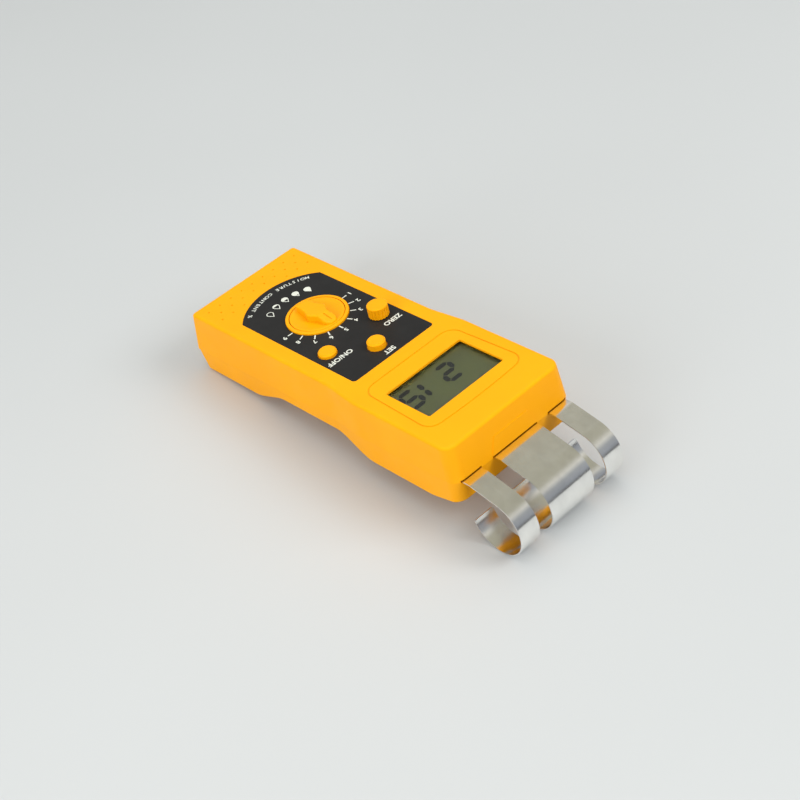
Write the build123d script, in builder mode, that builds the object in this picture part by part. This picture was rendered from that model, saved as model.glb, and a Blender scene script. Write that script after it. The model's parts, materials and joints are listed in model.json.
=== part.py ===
"""Grain moisture meter with three curled leaf-spring electrodes.

Everything is drawn with the meter's top face level: X runs from the handle end to the nose,
Y across, and Z = 0 is the top face. RESTING then lays the meter down as it lies on a table, on
the heel of the handle and on the electrode curls, with the nose slightly up. Millimetres.
"""

import os
from math import asin, atan2, cos, degrees, hypot, radians, sin, tan

from build123d import *

os.makedirs("parts", exist_ok=True)

# Body outline
body_length = 153.7
handle_width = 56.6
head_width = 60.4
body_depth = 29.1
neck_start_from_nose = 67.3
neck_end_from_nose = 51.3
handle_corner_radius = 1.7
neck_radius = 40.0
nose_corner_radius = 5.0
top_edge_radius = 1.3
bottom_edge_radius = 1.6

# Parting line between the two case halves, and the lean of the outside faces
parting_drop_handle = 18.3
parting_drop_nose = 15.3
handle_rake = 3.4
nose_rake = 1.9
heel_setback = 2.6
chin_setback = 1.6
upper_draft = 2.0
lower_draft = 3.0
seam_step = 0.12

# Underside: battery foot, finger waist and head
foot_end = 34.4
waist_start = 50.4
waist_rise = 5.8
waist_end_from_nose = 65.0
head_start_from_nose = 48.5
head_rise = 0.35
chin_start_from_nose = 14.5
chin_rise = 6.2
underside_radius = 18.0
seam_margin = 4.0

# Case walls and fits
wall = 2.0
top_wall = 2.4
floor_wall = 3.2
gap = 0.1
running_gap = 0.05
seat_gap = 0.2

# Working allowances: reach of cutting shapes past the body, and tests that pick edges and faces
overshoot = 20.0
block_margin = 4.0
shortest_upright = 5.0
corner_search = 6.0
tip_search = 1.0
facing = 0.7

# Front label and its recess
label_start = 25.9
label_end_from_nose = 58.9
label_half_width = 21.3
label_arc_rise = 10.0
label_corner_radius = 1.6
label_recess = 0.4
label_thickness = 0.35
label_arc_share = 0.3

# Grip dimples behind the label
dimple_radius = 0.42
dimple_depth = 0.3
dimple_pitch = 5.85
dimple_row_pitch = 4.6
dimple_rows = 3
first_dimple_row = 6.1
dimple_margin = 2.2
dimple_side_margin = 3.5

# Range dial
dial_x = 48.7
collar_radius = 13.1
collar_height = 0.8
collar_edge_radius = 0.3
dial_radius = 11.4
dial_gap = 0.3
dial_rim_height = 0.9
dial_rim_width = 0.9
dial_edge_radius = 0.35
dial_dish_depth = 1.3
dial_well_depth = 1.2
dial_hub_radius = 4.4
grip_tail = 9.4
grip_tail_half = 2.9
grip_waist_half = 3.2
grip_lobe_half = 4.7
grip_neck = 3.8
grip_neck_half = 2.8
grip_shoulder = 6.8
grip_shoulder_half = 3.0
grip_tip = 10.8
grip_tip_half = 1.1
grip_height = 3.0
grip_tip_height = 1.5
grip_edge_radius = 0.7
grip_root = 0.2
pointer_groove_start = 4.7
pointer_groove_end = 9.2
pointer_groove_width = 0.7
pointer_groove_depth = 0.35

# Rotary switch under the dial
rotary_size = 20.0
rotary_height = 5.4
rotary_shaft_radius = 3.0
rotary_flat = 0.8
rotor_radius = 8.0
rotor_thickness = 2.0
rotary_floor = 0.7
rotary_roof = 1.0
rotary_corner_radius = 1.5
rotary_shaft_drop = 0.3

# Zero knob and its potentiometer
zero_x = 70.9
zero_y = 13.9
zero_knob_radius = 4.25
zero_knob_height = 5.2
zero_knob_lift = 0.35
knurl_count = 20
knurl_radius = 0.42
knurl_stop = 0.7
zero_knob_edge_radius = 0.45
zero_knob_cap = 1.2
zero_hole_gap = 0.6
pot_size = 10.0
pot_height = 4.6
pot_shaft_radius = 2.0
pot_floor = 0.5
pot_bush_wall = 1.2
pot_bush_height = 1.2

# Push buttons: one stands out, the other is latched in
button_radius = 3.75
button_height = 2.8
button_bevel = 0.6
button_latch_drop = 1.3
button_flange_radius = 5.2
button_flange_thickness = 0.8
power_button_x = 71.7
power_button_y = -14.7
mode_button_x = 85.1
mode_button_y = -0.5
push_switch_size = 8.0
push_switch_height = 2.6
plunger_radius = 1.5
button_overtravel = 0.4

# Display
window_start_from_nose = 43.1
window_end_from_nose = 19.4
window_half_width = 19.6
window_corner_radius = 0.8
window_recess = 0.9
window_pane_thickness = 1.1
window_margin = 1.6
display_margin = 3.2
display_thickness = 2.5
display_half_width = 20.6
frame_wall = 1.4
frame_height = 5.6
zebra_width = 2.0
zebra_margin = 2.0
bezel_start_from_nose = 52.2
bezel_end_from_nose = 12.3
bezel_half_width_handle = 23.6
bezel_half_width_nose = 25.2
bezel_corner_radius = 6.0
bezel_end_bow = 1.0
bezel_line_width = 0.55
bezel_line_depth = 0.3

# Raised panel on the nose face
nose_panel_lift = 0.22
nose_panel_top = 7.6
nose_panel_top_half = 9.0
nose_panel_low = 14.2
nose_panel_low_half = 11.6
nose_panel_root = 1.0

# Circuit board
board_drop = 9.0
board_thickness = 1.6
board_start = 37.0
board_end_from_nose = 6.3
board_half_handle = 20.0
board_half_head = 22.0
board_neck_setback = 6.0
board_step = 2.0
board_screw_after_dial = 13.5
board_screw_before_window = 11.2
board_screw_after_window = 7.7
board_screw_y = 17.4
board_screw_radius = 0.95
board_screw_head_radius = 1.9
board_screw_head_height = 1.2
board_screw_length = 6.0
board_boss_radius = 2.4
chip_height = 1.5
chip_length = 14.0
chip_width = 10.0
chip_shift = 2.0
long_chip_length = 18.0
long_chip_width = 8.0
long_chip_shift = 4.0

# Case screws
handle_screw_x = 40.0
handle_screw_y = 23.4
head_screw_from_nose = 46.5
head_screw_y = 25.0
screw_boss_radius = 2.8
screw_post_wall_extra = 0.4
boss_root = 0.5
screw_radius = 1.2
screw_head_radius = 2.3
screw_head_height = 1.8
screw_length = 12.0
screw_seat_rise = 9.6
cross_slot_length = 3.2
cross_slot_width = 0.7
cross_slot_depth = 0.7

# Battery and its door
battery_length = 46.5
battery_width = 26.5
battery_height = 17.5
battery_x = 5.7
battery_edge_radius = 1.2
terminal_height = 2.0
terminal_radius = 3.2
terminal_spacing = 12.7
snap_length = 25.0
snap_depth = 12.0
snap_corner_radius = 1.0
snap_lip = 1.0
lead_radius = 0.6
lead_bend_radius = 1.2
lead_edge = 1.8
lead_pitch = 2.2
lead_exit = 3.0
lead_board_margin = 2.0
lead_board_edge = 2.5
lead_board_pitch = 3.0
door_half_width = 24.5
door_end = 33.5
door_thickness = 2.0
door_tongue = 1.1
door_tongue_thickness = 1.0
tongue_setback = 1.0
door_rib_count = 6
door_rib_margin = 6.0
door_rib_pitch = 2.0
door_rib_length = 22.0
door_rib_width = 0.9
door_rib_depth = 0.5
partition_thickness = 1.2
partition_inset = 1.0
partition_lead_gap = 10.0

# Electrodes: strips of spring steel, clamped inside the nose
leaf_thickness = 0.4
centre_leaf_half_width = 11.25
outer_leaf_inner = 18.05
outer_leaf_outer = 27.5
leaf_bend_from_nose = 4.2
curl_centre_from_nose = 15.3
curl_centre_drop = 30.3
curl_radius = 12.1
curl_tip_angle = -166.0
leaf_bend_radius = 6.0
leaf_tip_radius = 1.0
clamp_edge_from_nose = 4.3
tang_length = 13.0
clamp_length = 9.5
clamp_thickness = 2.5
base_length = 14.0
base_thickness = 4.0
flex_gap = 0.05
slot_clearance = 0.45
slot_length = 12.0
clamp_screw_from_nose = 11.3
clamp_screw_y = 6.0
clamp_screw_radius = 1.25
clamp_screw_head_radius = 2.1
clamp_screw_head_height = 1.5
clamp_screw_length = 11.0
post_radius = 3.0
post_root = 0.6
pin_radius = 0.5
pin_end_margin = 1.5
pin_side_margin = 2.0

# Values that follow from the sizes above
nose_x = body_length
neck_start = nose_x - neck_start_from_nose
neck_end = nose_x - neck_end_from_nose
curl_x = nose_x + curl_centre_from_nose
clamp_edge_x = nose_x - clamp_edge_from_nose
leaf_z = -parting_drop_nose
outer_leaf_y = (outer_leaf_inner + outer_leaf_outer) / 2
board_top = -board_drop
board_bottom = board_top - board_thickness
board_end = nose_x - board_end_from_nose
board_neck = neck_end - board_neck_setback
window_start = nose_x - window_start_from_nose
window_end = nose_x - window_end_from_nose
window_mid = (window_start + window_end) / 2
window_length = window_end - window_start
head_screw_x = nose_x - head_screw_from_nose
clamp_screw_x = nose_x - clamp_screw_from_nose
battery_bottom = -body_depth + door_thickness + gap
battery_mid_x = battery_x + battery_width / 2
battery_mid_z = battery_bottom + battery_height / 2
battery_side = -door_half_width
terminal_side = battery_side + battery_length
label_top = -label_recess + label_thickness
plunger_length = (
    board_drop - top_wall - button_flange_thickness - 4 * gap - button_latch_drop - button_overtravel
)
door_inner = -body_depth + door_thickness
base_top = leaf_z - leaf_thickness / 2
clamp_bottom = leaf_z + leaf_thickness / 2
parting_mean = (parting_drop_handle + parting_drop_nose) / 2
parting_spread = parting_mean * tan(radians(upper_draft)) - seam_step
foot_narrowing = (body_depth - parting_mean) * tan(radians(lower_draft))
foot_inside = handle_width / 2 + parting_spread - foot_narrowing - wall
snap_thickness = foot_inside - terminal_side - gap
parting_slope = (parting_drop_handle - parting_drop_nose) / (body_length + handle_rake + nose_rake)
parting = Plane(
    origin=(-handle_rake, 0, -parting_drop_handle),
    x_dir=(1, 0, parting_slope),
    z_dir=(-parting_slope, 0, 1),
)
case_screw_places = [
    (x, side * y)
    for x, y in ((handle_screw_x, handle_screw_y), (head_screw_x, head_screw_y))
    for side in (-1, 1)
]
board_screw_places = [
    (x, side * board_screw_y)
    for x in (
        dial_x + board_screw_after_dial,
        window_start - board_screw_before_window,
        window_end + board_screw_after_window,
    )
    for side in (-1, 1)
]
outer_leaf_half = (outer_leaf_outer - outer_leaf_inner) / 2
leaf_spans = ((-outer_leaf_y, outer_leaf_half), (0, centre_leaf_half_width), (outer_leaf_y, outer_leaf_half))
clamp_screw_ys = (-outer_leaf_y, -clamp_screw_y, clamp_screw_y, outer_leaf_y)
clamp_screw_places = [(clamp_screw_x, y) for y in clamp_screw_ys]

# The meter lies on the rounded heel and on the curls: one line touches both circles from below
heel_x = heel_setback - handle_rake + bottom_edge_radius
heel_z = -body_depth + bottom_edge_radius
curl_outer = curl_radius + leaf_thickness / 2
span_x = curl_x - heel_x
span_z = -curl_centre_drop - heel_z
rest_tilt = asin((curl_outer - bottom_edge_radius) / hypot(span_x, span_z)) - atan2(span_z, span_x)


def rested(x, z):
    """Height and reach of a point of the level meter once it is tilted nose up."""
    return x * cos(rest_tilt) - z * sin(rest_tilt), x * sin(rest_tilt) + z * cos(rest_tilt)


back_reach = rested(-handle_rake, -parting_drop_handle)[0]
front_reach = rested(curl_x, -curl_centre_drop)[0] + curl_outer
curl_height = rested(curl_x, -curl_centre_drop)[1]
RESTING = Location(
    (-(back_reach + front_reach) / 2, 0, curl_outer - curl_height), (0, -degrees(rest_tilt), 0)
)


def plan_outline(handle_x, front_x, spread):
    """Plan of the body: narrow handle, short neck and wider head, spread outwards all round."""
    half_handle = handle_width / 2 + spread
    half_head = head_width / 2 + spread
    side = [(handle_x, half_handle), (neck_start, half_handle), (neck_end, half_head), (front_x, half_head)]
    other_side = [(x, -y) for x, y in reversed(side)]
    with BuildSketch() as outline:
        with BuildLine():
            Polyline(*side, *other_side, close=True)
        make_face()
    return outline.sketch


def round_uprights(inset):
    """Round the upright corners of the block in hand: handle end, neck and nose."""
    corners = (
        (nose_x, nose_corner_radius - inset),
        (neck_end, neck_radius),
        (neck_start, neck_radius),
        (0, handle_corner_radius - inset / 2),
    )
    for corner_x, radius in corners:
        uprights = edges().filter_by(lambda edge: abs((edge @ 1 - edge @ 0).Z) > shortest_upright)
        near_corner = (corner_x - corner_search, corner_x + corner_search)
        fillet(uprights.filter_by_position(Axis.X, *near_corner), radius)


def upper_block(inset, top_z):
    """Outside of the upper half, or with an inset the hollow in it."""
    low_z = -parting_drop_handle - block_margin
    with BuildPart() as block:
        for z in (top_z, low_z):
            handle_x = handle_rake * z / parting_drop_handle + inset
            front_x = nose_x - nose_rake * z / parting_drop_nose - inset
            with BuildSketch(Plane.XY.offset(z)):
                add(plan_outline(handle_x, front_x, -z * tan(radians(upper_draft)) - inset))
        loft(ruled=True)
        round_uprights(inset)
    return block.part


def underside_profile(lift):
    """Side view of all that lies above the underside: foot, waist, head and chin."""
    foot_z = -body_depth + lift
    waist_z = foot_z + waist_rise
    head_z = foot_z + head_rise
    chin_x = nose_x - chin_start_from_nose
    far_x = nose_x + overshoot
    with BuildSketch() as profile:
        with BuildLine():
            run = FilletPolyline(
                (-overshoot, foot_z),
                (foot_end, foot_z),
                (waist_start, waist_z),
                (nose_x - waist_end_from_nose, waist_z),
                (nose_x - head_start_from_nose, head_z),
                (chin_x, head_z),
                (far_x, head_z + chin_rise * (far_x - chin_x) / (2 * chin_start_from_nose)),
                radius=underside_radius,
            )
            Polyline(run @ 1, (far_x, overshoot), (-overshoot, overshoot), run @ 0)
        make_face()
    return profile.sketch


def lower_block(inset, lift):
    """Outside of the lower half, or with an inset and a lift the hollow in it."""
    heel_depth = body_depth - parting_drop_handle
    chin_depth = body_depth - parting_drop_nose
    with BuildPart() as block:
        for z in (-parting_drop_nose + block_margin, -body_depth - block_margin):
            handle_x = -handle_rake + seam_step + heel_setback * (-z - parting_drop_handle) / heel_depth
            front_x = nose_x + nose_rake - seam_step - chin_setback * (-z - parting_drop_nose) / chin_depth
            spread = parting_spread - (-z - parting_mean) * tan(radians(lower_draft))
            with BuildSketch(Plane.XY.offset(z)):
                add(plan_outline(handle_x + inset, front_x - inset, spread - inset))
        loft(ruled=True)
        round_uprights(inset)
        with BuildSketch(Plane.XZ):
            add(underside_profile(lift))
        extrude(amount=head_width, both=True, mode=Mode.INTERSECT)
    return block.part


def label_outline(spread):
    """Label panel: straight sides and nose end, arched handle end."""
    end_x = nose_x - label_end_from_nose + spread
    half = label_half_width + spread
    start = label_start - spread * label_arc_share
    with BuildSketch() as outline:
        with BuildLine():
            Polyline((start, -half), (end_x, -half), (end_x, half), (start, half))
            ThreePointArc((start, half), (label_start - label_arc_rise - spread, 0), (start, -half))
        make_face()
        fillet(outline.vertices().group_by(Axis.X)[-1], label_corner_radius)
    return outline.sketch


def d_profile(radius):
    """Round shaft section with one flat."""
    with BuildSketch() as section:
        Circle(radius)
        with Locations((radius, 0)):
            Rectangle(2 * rotary_flat, 2 * radius, mode=Mode.SUBTRACT)
    return section.sketch


# Nose panel: a slightly raised area of the nose face above the centre electrode
with BuildPart() as nose_panel:
    add(Location((nose_panel_lift, 0, 0)) * upper_block(0, 0))
    with BuildSketch(Plane.YZ.offset(nose_x - nose_panel_root)):
        with BuildLine():
            Polyline(
                (-nose_panel_top_half, -nose_panel_top),
                (-nose_panel_low_half, -nose_panel_low),
                (-nose_panel_low_half, -body_depth),
                (nose_panel_low_half, -body_depth),
                (nose_panel_low_half, -nose_panel_low),
                (nose_panel_top_half, -nose_panel_top),
                close=True,
            )
        make_face()
    extrude(amount=overshoot, mode=Mode.INTERSECT)

# Front case: top shell with label recess, display window, dial well, holes and bosses
upper_outside = upper_block(0, 0)
upper_hollow = upper_block(wall, -top_wall)
with BuildPart() as front_case:
    add(upper_outside)
    fillet(faces().sort_by(Axis.Z)[-1].edges(), top_edge_radius)
    add(nose_panel.part)
    split(bisect_by=parting, keep=Keep.TOP)
    add(upper_hollow, mode=Mode.SUBTRACT)
    with BuildSketch(Plane.XY.offset(-label_recess)):
        add(label_outline(0))
    extrude(amount=label_recess + 1, mode=Mode.SUBTRACT)
    with Locations((dial_x, 0, -top_wall)):
        Cylinder(collar_radius, top_wall + collar_height, align=(Align.CENTER, Align.CENTER, Align.MIN))
    rim = edges().filter_by(GeomType.CIRCLE).group_by(Axis.Z)[-1]
    fillet(rim, collar_edge_radius)
    with Locations((dial_x, 0, -dial_well_depth)):
        Cylinder(
            dial_radius + dial_gap,
            overshoot,
            align=(Align.CENTER, Align.CENTER, Align.MIN),
            mode=Mode.SUBTRACT,
        )
    with Locations((dial_x, 0, -top_wall)):
        Cylinder(dial_hub_radius + dial_gap, 2 * top_wall, mode=Mode.SUBTRACT)
    with BuildSketch(Plane.XY.offset(-top_wall)):
        with Locations((zero_x, zero_y)):
            Circle(pot_shaft_radius + zero_hole_gap)
        with Locations((power_button_x, power_button_y), (mode_button_x, mode_button_y)):
            Circle(button_radius + gap)
    extrude(amount=top_wall + 1, mode=Mode.SUBTRACT)
    with BuildSketch(Plane.XY.offset(-top_wall)):
        with Locations((window_mid, 0)):
            RectangleRounded(window_length, 2 * window_half_width, window_corner_radius)
    extrude(amount=top_wall + 1, mode=Mode.SUBTRACT)
    with BuildSketch(Plane.XY.offset(-top_wall)):
        with Locations((window_mid, 0)):
            Rectangle(window_length + 2 * window_margin, 2 * (window_half_width + window_margin))
    extrude(amount=top_wall - window_recess, mode=Mode.SUBTRACT)
    with BuildSketch(Plane.XY.offset(-bezel_line_depth)):
        for shrink, step_mode in ((0, Mode.ADD), (bezel_line_width, Mode.SUBTRACT)):
            start_x = nose_x - bezel_start_from_nose + shrink
            end_x = nose_x - bezel_end_from_nose - shrink
            bow_x = end_x - bezel_end_bow
            half_start = bezel_half_width_handle - shrink
            half_end = bezel_half_width_nose - shrink
            with BuildSketch(Plane.XY, mode=Mode.PRIVATE) as bezel:
                with BuildLine():
                    Polyline((start_x, half_start), (start_x, -half_start), (bow_x, -half_end))
                    ThreePointArc((bow_x, -half_end), (end_x, 0), (bow_x, half_end))
                    Line((bow_x, half_end), (start_x, half_start))
                make_face()
                fillet(bezel.vertices(), bezel_corner_radius - shrink)
            add(bezel.sketch, mode=step_mode)
    extrude(amount=bezel_line_depth + 1, mode=Mode.SUBTRACT)
    with BuildSketch(Plane.XY.offset(-dimple_depth)):
        columns = int(handle_width / 2 / dimple_pitch)
        for row in range(dimple_rows):
            row_x = first_dimple_row + row * dimple_row_pitch
            for column in range(-columns, columns + 1):
                dot_y = (column + 0.5 * (row % 2)) * dimple_pitch
                arc_x = label_start - label_arc_rise + label_arc_rise * (dot_y / label_half_width) ** 2
                if abs(dot_y) < handle_width / 2 - dimple_side_margin and row_x < arc_x - dimple_margin:
                    with Locations((row_x, dot_y)):
                        Circle(dimple_radius)
    extrude(amount=dimple_depth + 1, mode=Mode.SUBTRACT)
    with Locations(*[(x, y, -top_wall + boss_root) for x, y in case_screw_places]):
        Cylinder(
            screw_boss_radius,
            parting_drop_nose - top_wall + boss_root,
            align=(Align.CENTER, Align.CENTER, Align.MAX),
        )
    with Locations(*[(x, y, -parting_drop_nose) for x, y in case_screw_places]):
        Hole(screw_radius + running_gap, parting_drop_nose - top_wall - 1)
    with Locations(*[(x, y, -top_wall + boss_root) for x, y in board_screw_places]):
        Cylinder(
            board_boss_radius,
            board_drop - top_wall + boss_root,
            align=(Align.CENTER, Align.CENTER, Align.MAX),
        )
    for y, half_width in leaf_spans:
        with Locations((nose_x, y, leaf_z)):
            Box(
                slot_length,
                2 * (half_width + slot_clearance),
                leaf_thickness + 2 * slot_clearance,
                mode=Mode.SUBTRACT,
            )
    with Locations(*[(x, y, board_top) for x, y in board_screw_places]):
        Hole(board_screw_radius + running_gap, board_screw_length - board_thickness + 1)
front_case.part.label = "front_case"
export_step(RESTING * front_case.part, "parts/front_case.step")


def around(radius, angle):
    """Offset of a point on a circle from its centre."""
    return Vector(radius * cos(angle), radius * sin(angle))


def leaf_section():
    """Side view of an electrode outside its clamp: flat run, bend, slope and curl, one strip thick."""
    half = leaf_thickness / 2
    bend_centre = Vector(nose_x + leaf_bend_from_nose, leaf_z - leaf_bend_radius)
    curl_centre = Vector(curl_x, -curl_centre_drop)
    between = curl_centre - bend_centre
    slope = atan2(between.Y, between.X) + asin((curl_radius - leaf_bend_radius) / between.length)
    turn = slope + radians(90)
    tip = radians(curl_tip_angle)
    faces_of_leaf = []
    for side in (half, -half):
        faces_of_leaf.append(
            [
                bend_centre + Vector(0, leaf_bend_radius + side),
                bend_centre + around(leaf_bend_radius + side, (turn + radians(90)) / 2),
                bend_centre + around(leaf_bend_radius + side, turn),
                curl_centre + around(curl_radius + side, turn),
                curl_centre + around(curl_radius + side, (turn + tip) / 2),
                curl_centre + around(curl_radius + side, tip),
            ]
        )
    root_x = clamp_edge_x + flex_gap
    with BuildSketch() as section:
        with BuildLine():
            for side, points in zip((half, -half), faces_of_leaf):
                Line((root_x, leaf_z + side), points[0])
                ThreePointArc(points[0], points[1], points[2])
                Line(points[2], points[3])
                ThreePointArc(points[3], points[4], points[5])
            Line(faces_of_leaf[0][5], faces_of_leaf[1][5])
            Line((root_x, leaf_z + half), (root_x, leaf_z - half))
        make_face()
    return section.sketch


# Lower shell outside with its rounded bottom edge
lower_plain = lower_block(0, 0)
with BuildPart() as lower_outside:
    add(lower_plain)
    bottom = faces().filter_by(lambda face: face.normal_at().Z < -facing)
    across = bottom.edges().filter_by(Axis.Y)
    inner_seams = across.filter_by_position(Axis.X, foot_end / 2, nose_x - seam_margin)
    rim = [edge for edge in bottom.edges() if not any(edge.is_same(seam) for seam in inner_seams)]
    fillet(rim, bottom_edge_radius)
lower_hollow = lower_block(wall, floor_wall)

# Rear case: lower shell with battery opening, door rails, screw posts and electrode posts
with BuildPart() as screw_posts:
    with Locations(*[(x, y, -parting_drop_nose) for x, y in case_screw_places]):
        Cylinder(
            screw_boss_radius + screw_post_wall_extra,
            body_depth,
            align=(Align.CENTER, Align.CENTER, Align.MAX),
        )
    add(lower_outside.part, mode=Mode.INTERSECT)
with BuildPart() as rear_case:
    add(lower_outside.part)
    add(lower_hollow, mode=Mode.SUBTRACT)
    split(bisect_by=parting, keep=Keep.BOTTOM)
    partition_x = door_end + 2 * gap + partition_thickness
    with Locations((partition_x, -handle_width / 2 + partition_inset, -body_depth + partition_inset)):
        Box(
            partition_thickness,
            handle_width / 2 + handle_screw_y - partition_lead_gap,
            body_depth - parting_drop_handle - partition_inset,
            align=(Align.CENTER, Align.MIN, Align.MIN),
        )
    with BuildSketch(Plane.XY.offset(door_inner + gap)):
        with Locations((-overshoot, 0)):
            Rectangle(
                overshoot + door_end + gap,
                2 * (door_half_width + gap),
                align=(Align.MIN, Align.CENTER),
            )
    extrude(amount=-overshoot, mode=Mode.SUBTRACT)
    with BuildSketch(Plane.XY.offset(door_inner + gap)):
        with Locations((-overshoot, 0)):
            Rectangle(
                overshoot + door_end + gap,
                2 * (door_half_width + door_tongue + gap),
                align=(Align.MIN, Align.CENTER),
            )
    extrude(amount=-door_tongue_thickness - 2 * gap, mode=Mode.SUBTRACT)
    with BuildSketch(Plane.XY.offset(-body_depth - 1)):
        with Locations((battery_x - gap, 0)):
            Rectangle(
                battery_width + 2 * gap,
                2 * (door_half_width + gap),
                align=(Align.MIN, Align.CENTER),
            )
    extrude(amount=body_depth - parting_drop_handle, mode=Mode.SUBTRACT)
    add(screw_posts.part)
    for x, y in clamp_screw_places:
        with Locations((x, y, base_top - base_thickness)):
            Cylinder(
                post_radius,
                body_depth + base_top - base_thickness - floor_wall + post_root,
                align=(Align.CENTER, Align.CENTER, Align.MAX),
            )
            Hole(clamp_screw_radius + running_gap, clamp_screw_length - base_thickness)
    with BuildSketch(Plane.XY.offset(-body_depth - overshoot)):
        with Locations(*case_screw_places):
            Circle(screw_head_radius + 2 * gap)
    extrude(amount=overshoot + screw_seat_rise, mode=Mode.SUBTRACT)
    with BuildSketch(Plane.XY.offset(-body_depth - overshoot)):
        with Locations(*case_screw_places):
            Circle(screw_radius + 2 * gap)
    extrude(amount=overshoot + body_depth, mode=Mode.SUBTRACT)
    for y, half_width in leaf_spans:
        with Locations((nose_x, y, leaf_z)):
            Box(
                slot_length,
                2 * (half_width + slot_clearance),
                leaf_thickness + 2 * slot_clearance,
                mode=Mode.SUBTRACT,
            )
rear_case.part.label = "rear_case"
export_step(RESTING * rear_case.part, "parts/rear_case.step")

# Battery door: bottom plate of the foot with a tongue along each side and ribs for the thumb
with BuildPart() as battery_door:
    add(lower_outside.part)
    with BuildSketch(Plane.XY.offset(door_inner)):
        with Locations((door_end, 0)):
            Rectangle(door_end + overshoot, 2 * door_half_width, align=(Align.MAX, Align.CENTER))
    extrude(amount=-overshoot, mode=Mode.INTERSECT)
    with BuildSketch(Plane.XY.offset(door_inner)):
        for side in (-1, 1):
            with Locations((heel_x + tongue_setback, side * (door_half_width + door_tongue / 2))):
                Rectangle(door_end - heel_x - tongue_setback, door_tongue, align=(Align.MIN, Align.CENTER))
    extrude(amount=-door_tongue_thickness)
    with BuildSketch(Plane.XY.offset(-body_depth)):
        for rib in range(door_rib_count):
            with Locations((door_end - door_rib_margin - door_rib_pitch * rib, 0)):
                SlotOverall(door_rib_length, door_rib_width, rotation=90)
    extrude(amount=door_rib_depth, mode=Mode.SUBTRACT)
battery_door.part.label = "battery_door"
export_step(RESTING * battery_door.part, "parts/battery_door.step")

# Front label: thin printed sheet in its recess, cut out round the dial and the controls
with BuildPart() as front_label:
    with BuildSketch(Plane.XY.offset(-label_recess)):
        add(label_outline(-gap))
        with Locations((dial_x, 0)):
            Circle(collar_radius + gap, mode=Mode.SUBTRACT)
        with Locations((zero_x, zero_y)):
            Circle(pot_shaft_radius + zero_hole_gap + 4 * gap, mode=Mode.SUBTRACT)
        with Locations((power_button_x, power_button_y), (mode_button_x, mode_button_y)):
            Circle(button_radius + 3 * gap, mode=Mode.SUBTRACT)
    extrude(amount=label_thickness)
front_label.part.label = "front_label"
export_step(RESTING * front_label.part, "parts/front_label.step")

# Display window: clear pane seated from below in the rebate of the top wall
with BuildPart() as display_window:
    with Locations((window_mid, 0, -window_recess)):
        Box(
            window_length + 2 * window_margin - 2 * gap,
            2 * (window_half_width + window_margin - gap),
            window_pane_thickness,
            align=(Align.CENTER, Align.CENTER, Align.MAX),
        )
display_window.part.label = "display_window"
export_step(RESTING * display_window.part, "parts/display_window.step")

# Display glass, its frame on the board, and the two contact strips between glass and board
display_top = -top_wall - gap
display_length = window_length + 2 * display_margin
with BuildPart() as display_glass:
    with Locations((window_mid, 0, display_top)):
        Box(
            display_length,
            2 * display_half_width,
            display_thickness,
            align=(Align.CENTER, Align.CENTER, Align.MAX),
        )
display_glass.part.label = "display_glass"
export_step(RESTING * display_glass.part, "parts/display_glass.step")

with BuildPart() as display_frame:
    with Locations((window_mid, 0, board_top)):
        Box(
            display_length + 2 * frame_wall,
            2 * (display_half_width + frame_wall - gap),
            frame_height,
            align=(Align.CENTER, Align.CENTER, Align.MIN),
        )
        Box(
            display_length + 2 * gap,
            2 * (display_half_width + gap),
            frame_height,
            align=(Align.CENTER, Align.CENTER, Align.MIN),
            mode=Mode.SUBTRACT,
        )
display_frame.part.label = "display_frame"
export_step(RESTING * display_frame.part, "parts/display_frame.step")

with BuildPart() as contact_strips:
    with BuildSketch(Plane.XY.offset(board_top)):
        strip_reach = display_length / 2 - zebra_width
        with Locations((window_mid - strip_reach, 0), (window_mid + strip_reach, 0)):
            Rectangle(zebra_width, 2 * (display_half_width - zebra_margin))
    extrude(amount=display_top - display_thickness - board_top)
contact_strips.part.label = "contact_strips"
export_step(RESTING * contact_strips.part, "parts/contact_strips.step")

# Main board with its screws, and the chips under it
with BuildPart() as main_board:
    with BuildSketch(Plane.XY.offset(board_top)):
        with BuildLine():
            Polyline(
                (board_start, -board_half_handle),
                (board_neck, -board_half_handle),
                (board_neck + board_step, -board_half_head),
                (board_end, -board_half_head),
                (board_end, board_half_head),
                (board_neck + board_step, board_half_head),
                (board_neck, board_half_handle),
                (board_start, board_half_handle),
                close=True,
            )
        make_face()
        with Locations(*board_screw_places):
            Circle(board_screw_radius + gap, mode=Mode.SUBTRACT)
    extrude(amount=-board_thickness)
main_board.part.label = "main_board"
export_step(RESTING * main_board.part, "parts/main_board.step")

with BuildPart() as board_screws:
    with Locations(*[(x, y, board_bottom) for x, y in board_screw_places]):
        Cylinder(
            board_screw_head_radius,
            board_screw_head_height,
            align=(Align.CENTER, Align.CENTER, Align.MAX),
        )
        Cylinder(board_screw_radius, board_screw_length, align=(Align.CENTER, Align.CENTER, Align.MIN))
board_screws.part.label = "board_screws"
export_step(RESTING * board_screws.part, "parts/board_screws.step")

with BuildPart() as board_chips:
    with BuildSketch(Plane.XY.offset(board_bottom)):
        with Locations((dial_x + chip_shift, 0), (window_mid, chip_shift)):
            Rectangle(chip_length, chip_width)
        with Locations((mode_button_x - long_chip_shift, long_chip_shift)):
            Rectangle(long_chip_length, long_chip_width)
    extrude(amount=-chip_height)
board_chips.part.label = "board_chips"
export_step(RESTING * board_chips.part, "parts/board_chips.step")

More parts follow.
